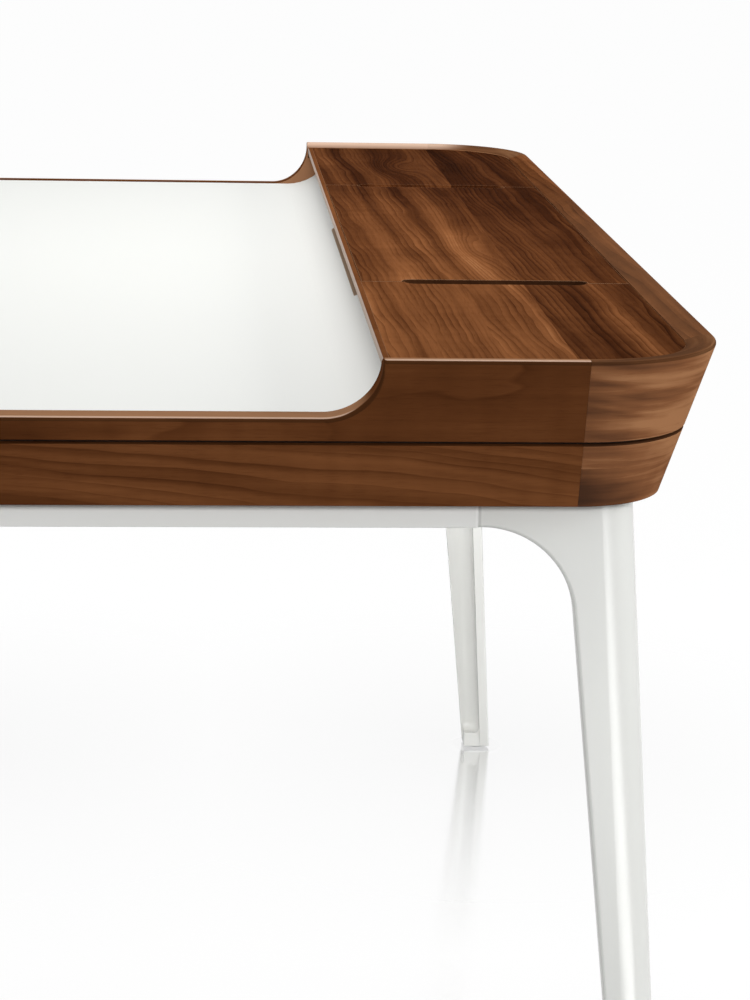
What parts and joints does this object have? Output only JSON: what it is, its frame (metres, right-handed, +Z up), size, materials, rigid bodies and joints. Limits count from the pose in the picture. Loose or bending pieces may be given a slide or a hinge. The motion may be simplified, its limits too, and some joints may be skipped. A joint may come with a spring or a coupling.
{
  "type": "writing desk",
  "caption": "Writing desk with a flared wooden tray, a white surface that curves up to a raised rear shelf with a lift-off lid, shallow drawers and arched cast legs.",
  "frame": {"origin": "on the floor under the middle of the desk", "axes": "+X to the right of the person at the desk, +Y to the back, +Z up"},
  "size_m": [1.42, 0.7609, 0.8],
  "materials": {
    "walnut_upper_end": "satin oiled walnut",
    "walnut_lower_end": "satin oiled walnut",
    "walnut_corner": "satin oiled walnut",
    "walnut_back": "satin oiled walnut",
    "walnut_front": "satin oiled walnut",
    "walnut_shelf": "satin oiled walnut",
    "walnut_lid": "satin oiled walnut",
    "walnut_nosing": "pale edge strip",
    "inner_wood": "unpolished walnut",
    "drawer_wood": "clear lacquered beech",
    "runner_wood": "waxed beech",
    "dark_panel": "black stained board",
    "bottom_board": "sealed plywood",
    "white_laminate": "fine matt laminate",
    "cast_white": "white powder coat",
    "bare_aluminium": "milled",
    "screw_steel": "zinc plated",
    "glide_plastic": "moulded"
  },
  "bodies": {
    "case": {"bottom_panel": "bottom_board", "centre_divider": "runner_wood", "drawer_runner_left": "runner_wood", "drawer_runner_right": "runner_wood", "dust_panel": "dark_panel", "end_rail_left": "cast_white", "end_rail_right": "cast_white", "glide_back_left": "glide_plastic", "glide_back_right": "glide_plastic", "glide_front_left": "glide_plastic", "glide_front_right": "glide_plastic", "leg_back_left": "cast_white", "leg_back_right": "cast_white", "leg_front_left": "cast_white", "leg_front_right": "cast_white", "leg_screws": "screw_steel", "long_rail_back": "cast_white", "long_rail_front": "cast_white", "lower_back_panel": "walnut_back", "lower_corner_back_left": "walnut_corner", "lower_corner_back_right": "walnut_corner", "lower_corner_front_left": "walnut_corner", "lower_corner_front_right": "walnut_corner", "lower_end_panel_left": "walnut_lower_end", "lower_end_panel_right": "walnut_lower_end", "partition_left": "inner_wood", "partition_right": "inner_wood", "shelf_front_rail": "inner_wood", "shelf_nosing": "walnut_nosing", "shelf_side_left": "walnut_shelf", "shelf_side_right": "walnut_shelf", "splice_bars": "bare_aluminium", "upper_back_panel": "walnut_back", "upper_corner_back_left": "walnut_corner", "upper_corner_back_right": "walnut_corner", "upper_corner_front_left": "walnut_corner", "upper_corner_front_right": "walnut_corner", "upper_end_panel_left": "walnut_upper_end", "upper_end_panel_right": "walnut_upper_end", "upper_front_rail": "walnut_front", "writing_surface": "white_laminate"},
    "lid": {"centre_lid": "walnut_lid", "lid_batten_left": "inner_wood", "lid_batten_right": "inner_wood"},
    "drawer_right": {"drawer_right_back": "drawer_wood", "drawer_right_bottom": "drawer_wood", "drawer_right_front": "walnut_front", "drawer_right_inner_side": "drawer_wood", "drawer_right_outer_side": "drawer_wood"},
    "drawer_left": {"drawer_left_back": "drawer_wood", "drawer_left_bottom": "drawer_wood", "drawer_left_front": "walnut_front", "drawer_left_inner_side": "drawer_wood", "drawer_left_outer_side": "drawer_wood"}
  },
  "joints": [
    {"name": "lid_lift", "type": "slide", "parent": "case", "child": "lid", "axis": [0, 0, 1], "range_m": [0, 0.12]},
    {"name": "drawer_right_slide", "type": "slide", "parent": "case", "child": "drawer_right", "axis": [0, -1, 0], "range_m": [0, 0.3]},
    {"name": "drawer_left_slide", "type": "slide", "parent": "case", "child": "drawer_left", "axis": [0, -1, 0], "range_m": [0, 0.3]}
  ]
}
